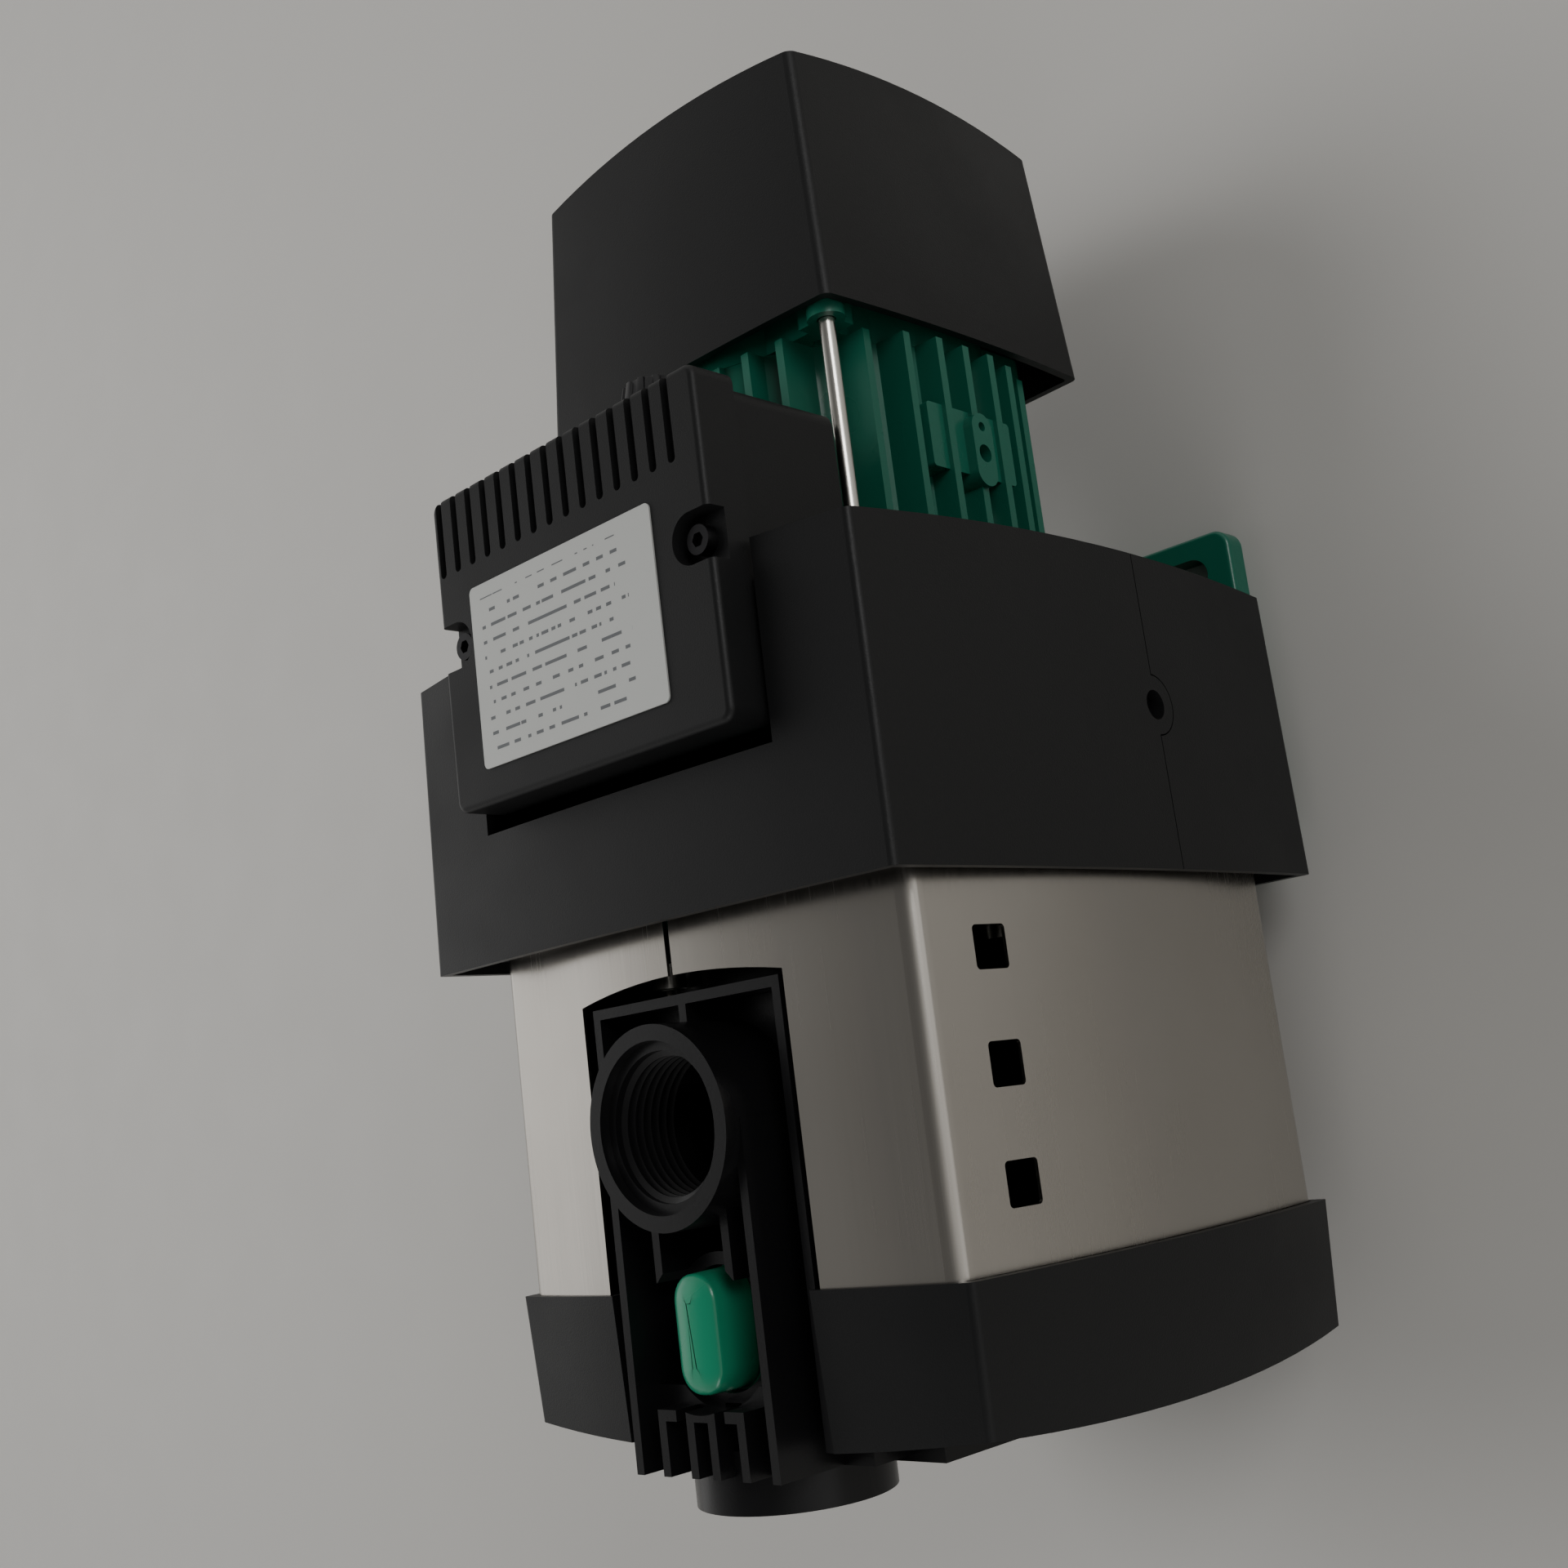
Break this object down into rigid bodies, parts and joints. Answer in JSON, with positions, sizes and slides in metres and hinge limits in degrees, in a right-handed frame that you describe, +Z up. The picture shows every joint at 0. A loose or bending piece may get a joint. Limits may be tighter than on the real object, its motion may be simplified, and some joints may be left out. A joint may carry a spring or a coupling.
{
  "type": "centrifugal water pump",
  "caption": "Horizontal multistage centrifugal water pump with steel jacket, moulded black covers, top discharge, front suction and finned green motor on a slotted foot.",
  "frame": {"origin": "centre of the foot's four-slot pattern, on the floor plane under the foot", "axes": "+Z up, +Y along the shaft from the pump to the fan end, +X to the side with the earthing pad"},
  "size_m": [0.1602, 0.3382, 0.1854],
  "materials": {
    "casing_black": "glass-filled polymer, semi-gloss, lightly textured",
    "cover_black": "moulded, fine matt grain",
    "nylon_black": "satin nylon",
    "jacket_steel": "brushed along the bend",
    "green_paint": "gloss enamel over a casting",
    "plug_teal": "moulded, satin",
    "stage_plastic": "moulded",
    "fan_plastic": "moulded",
    "seal_rubber": "smooth rubber",
    "seal_ceramic": "polished ceramic",
    "label_silver": "printed foil",
    "winding_copper": "varnished copper wire",
    "core_steel": "stacked sheet",
    "capacitor_case": "moulded",
    "zinc_steel": "bright zinc",
    "blackened_steel": "black oxide",
    "bright_steel": "ground"
  },
  "bodies": {
    "pump": {"box_gasket": "seal_rubber", "capacitor": "capacitor_case", "casing_screws": "zinc_steel", "casing_seal_ring": "seal_rubber", "diffuser_1": "stage_plastic", "diffuser_2": "stage_plastic", "diffuser_3": "stage_plastic", "fan_cover": "cover_black", "fan_cover_screws": "zinc_steel", "foot": "green_paint", "foot_screws": "zinc_steel", "front_bearing_outer": "bright_steel", "front_cover": "cover_black", "gland_body": "nylon_black", "gland_nut": "nylon_black", "gland_seal": "seal_rubber", "lid_screws": "blackened_steel", "motor_bracket": "green_paint", "motor_housing": "green_paint", "nameplate": "label_silver", "preload_washer": "zinc_steel", "pump_casing": "casing_black", "rear_bearing_outer": "bright_steel", "rear_shield": "green_paint", "seal_seat": "seal_ceramic", "shroud_lower": "cover_black", "shroud_screws": "blackened_steel", "shroud_upper": "cover_black", "stage_clamp_ring": "stage_plastic", "stage_housing_1": "stage_plastic", "stage_housing_2": "stage_plastic", "stage_housing_3": "stage_plastic", "stage_seal_ring": "seal_rubber", "stator_core": "core_steel", "stator_windings": "winding_copper", "steel_jacket": "jacket_steel", "terminal_block": "nylon_black", "terminal_box_base": "cover_black", "terminal_box_lid": "cover_black", "tie_rod_nuts": "zinc_steel", "tie_rods": "zinc_steel"},
    "rotor": {"cooling_fan": "fan_plastic", "fan_clip": "zinc_steel", "front_bearing_balls": "bright_steel", "front_bearing_inner": "bright_steel", "impeller_1": "stage_plastic", "impeller_2": "stage_plastic", "impeller_3": "stage_plastic", "impeller_nut": "bright_steel", "impeller_spacers": "bright_steel", "rear_bearing_balls": "bright_steel", "rear_bearing_inner": "bright_steel", "rotor_core": "core_steel", "seal_bellows": "seal_rubber", "seal_head": "bright_steel", "shaft": "bright_steel"},
    "filler_lift": {"filler_seal": "seal_rubber"},
    "filler_plug_turn": {"filler_plug": "plug_teal"},
    "drain_lift": {"drain_seal": "seal_rubber"},
    "drain_plug_turn": {"drain_plug": "plug_teal"}
  },
  "joints": [
    {"name": "shaft_spin", "type": "hinge", "parent": "pump", "child": "rotor", "pos_m": [0, 0.05, 0.092], "axis": [0, 1, 0], "continuous": true},
    {"name": "filler_rise", "type": "slide", "parent": "pump", "child": "filler_lift", "axis": [0, 0, 1], "range_m": [0, 0.006]},
    {"name": "filler_unscrew", "type": "hinge", "parent": "filler_lift", "child": "filler_plug_turn", "pos_m": [0, -0.1399, 0.161], "axis": [0, 0, 1], "range_deg": [0, 1082]},
    {"name": "drain_rise", "type": "slide", "parent": "pump", "child": "drain_lift", "axis": [0, -1, 0], "range_m": [0, 0.006]},
    {"name": "drain_unscrew", "type": "hinge", "parent": "drain_lift", "child": "drain_plug_turn", "pos_m": [0, -0.168, 0.056], "axis": [0, -1, 0], "range_deg": [0, 1082]}
  ],
  "couplings": [
    {"joint": "filler_unscrew", "follows": "filler_rise", "rad_per_m": 3141.6},
    {"joint": "drain_unscrew", "follows": "drain_rise", "rad_per_m": 3141.6}
  ]
}
